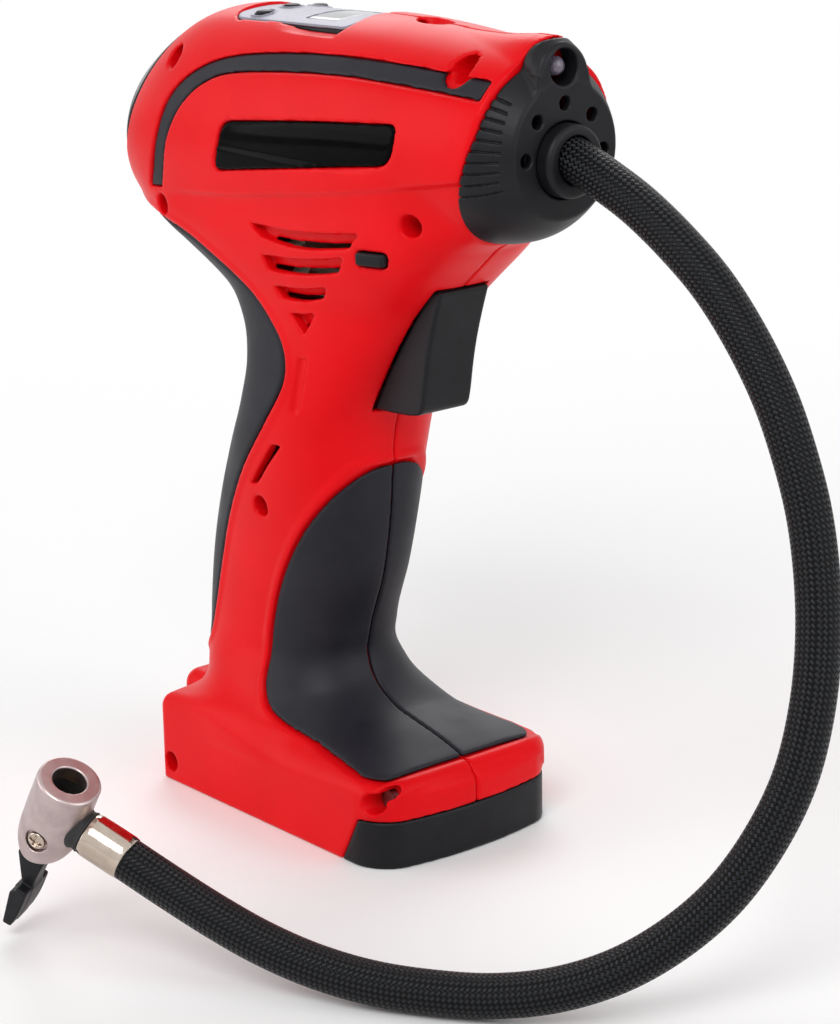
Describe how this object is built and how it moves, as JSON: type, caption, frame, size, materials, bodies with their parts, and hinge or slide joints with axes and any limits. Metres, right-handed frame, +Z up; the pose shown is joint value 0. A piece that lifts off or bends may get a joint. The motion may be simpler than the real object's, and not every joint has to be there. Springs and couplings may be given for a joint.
{
  "type": "portable tire inflator",
  "caption": "Cordless pistol-grip tyre inflator with a battery base, a crown display, a nose lamp and a braided air hose that ends in a lever chuck.",
  "frame": {"origin": "middle of the tool's box on the table, the hose and chuck left out", "axes": "+X out of the nose, +Z up, +Y to the tool's left"},
  "size_m": [0.2556, 0.1565, 0.2153],
  "materials": {
    "red_shell": "satin moulded ABS",
    "soft_grip": "matt soft-touch overmould",
    "black_plastic": "fine grained moulded plastic",
    "gloss_black": "polished black plastic",
    "silver_panel": "satin silver lacquer",
    "display_window": "clear display window",
    "lens": "clear epoxy lens",
    "nickel": "nickel plated",
    "steel": "zinc plated steel",
    "brass_parts": "turned brass",
    "alloy": "die cast",
    "board": "green solder mask",
    "cell_wrap": "shrink sleeve",
    "white_nylon": "natural nylon",
    "dark_nylon": "glass filled nylon",
    "copper": "enamelled winding",
    "braid": "braided textile over rubber",
    "seal_rubber": "moulded rubber",
    "wire": "insulated wire"
  },
  "bodies": {
    "housing": {"right_housing": "red_shell", "left_housing": "red_shell", "rear_cap": "gloss_black", "nose_cap": "black_plastic", "hose_collar": "black_plastic", "outlet_fitting": "brass_parts", "lamp_led": "lens", "lamp_board": "board", "display_bezel": "black_plastic", "display_panel": "silver_panel", "display_glass": "display_window", "display_board": "board", "badge_plates": "gloss_black", "side_bands": "soft_grip", "front_grip_right": "soft_grip", "front_grip_left": "soft_grip", "rear_grip": "soft_grip", "housing_screws": "steel", "foot_cover": "black_plastic", "battery_cells": "cell_wrap", "battery_board": "board", "charge_socket": "black_plastic", "trigger_spring": "steel", "trigger_switch": "black_plastic", "motor_can": "steel", "motor_endcap": "white_nylon", "motor_magnets": "dark_nylon", "compressor_frame": "alloy", "gear_axle": "steel", "cylinder_head": "alloy", "air_tube": "white_nylon", "wire_loom": "wire", "hose": "braid", "hose_ferrule": "nickel", "hose_neck": "seal_rubber", "chuck_body": "nickel", "chuck_seal": "seal_rubber", "chuck_core_pin": "brass_parts", "lever_pin": "nickel"},
    "trigger": {"trigger": "black_plastic"},
    "lock_button": {"lock_button": "black_plastic"},
    "button_minus": {"button_minus": "black_plastic"},
    "button_mode": {"button_mode": "black_plastic"},
    "button_plus": {"button_plus": "black_plastic"},
    "socket_plug": {"socket_plug": "seal_rubber"},
    "rotor": {"rotor": "copper", "cooling_fan": "dark_nylon", "pinion": "brass_parts"},
    "crank": {"crank_gear": "white_nylon", "crank_pin": "steel"},
    "connecting_rod": {"connecting_rod": "dark_nylon"},
    "piston": {"piston": "alloy", "piston_seal": "seal_rubber"},
    "chuck_lever": {"chuck_lever": "black_plastic"}
  },
  "joints": [
    {"name": "trigger_pull", "type": "slide", "parent": "housing", "child": "trigger", "axis": [-1, 0, 0], "range_m": [0, 0.006], "stiffness_N_per_m": 1500, "springref_m": -0.002, "deforming": ["trigger_spring"]},
    {"name": "lock_slide", "type": "slide", "parent": "housing", "child": "lock_button", "axis": [0, 1, 0], "range_m": [-0.003, 0.003]},
    {"name": "button_minus_press", "type": "slide", "parent": "housing", "child": "button_minus", "axis": [0, 0, -1], "range_m": [0, 0.0008], "stiffness_N_per_m": 800, "springref_m": -0.0005},
    {"name": "button_mode_press", "type": "slide", "parent": "housing", "child": "button_mode", "axis": [0, 0, -1], "range_m": [0, 0.0008], "stiffness_N_per_m": 800, "springref_m": -0.0005},
    {"name": "button_plus_press", "type": "slide", "parent": "housing", "child": "button_plus", "axis": [0, 0, -1], "range_m": [0, 0.0008], "stiffness_N_per_m": 800, "springref_m": -0.0005},
    {"name": "plug_pull", "type": "slide", "parent": "housing", "child": "socket_plug", "axis": [-1, 0, 0], "range_m": [0, 0.01]},
    {"name": "rotor_spin", "type": "hinge", "parent": "housing", "child": "rotor", "pos_m": [0, 0, 0.182], "axis": [1, 0, 0], "continuous": true},
    {"name": "crank_spin", "type": "hinge", "parent": "housing", "child": "crank", "pos_m": [0, 0, 0.158], "axis": [1, 0, 0], "continuous": true},
    {"name": "rod_swing", "type": "hinge", "parent": "crank", "child": "connecting_rod", "pos_m": [0.014, 0, 0.1545], "axis": [1, 0, 0], "continuous": true},
    {"name": "piston_stroke", "type": "slide", "parent": "housing", "child": "piston", "axis": [0, 0, 1], "range_m": [0, 0.007]},
    {"name": "lever_fold", "type": "hinge", "parent": "housing", "child": "chuck_lever", "pos_m": [0.02296, -0.11704, 0.03291], "axis": [-0.3957, 0.8966, 0.1986], "range_deg": [0, 90]}
  ],
  "couplings": [
    {"joint": "crank_spin", "follows": "rotor_spin", "ratio": -0.25},
    {"joint": "rod_swing", "follows": "rotor_spin", "ratio": 0.25}
  ]
}
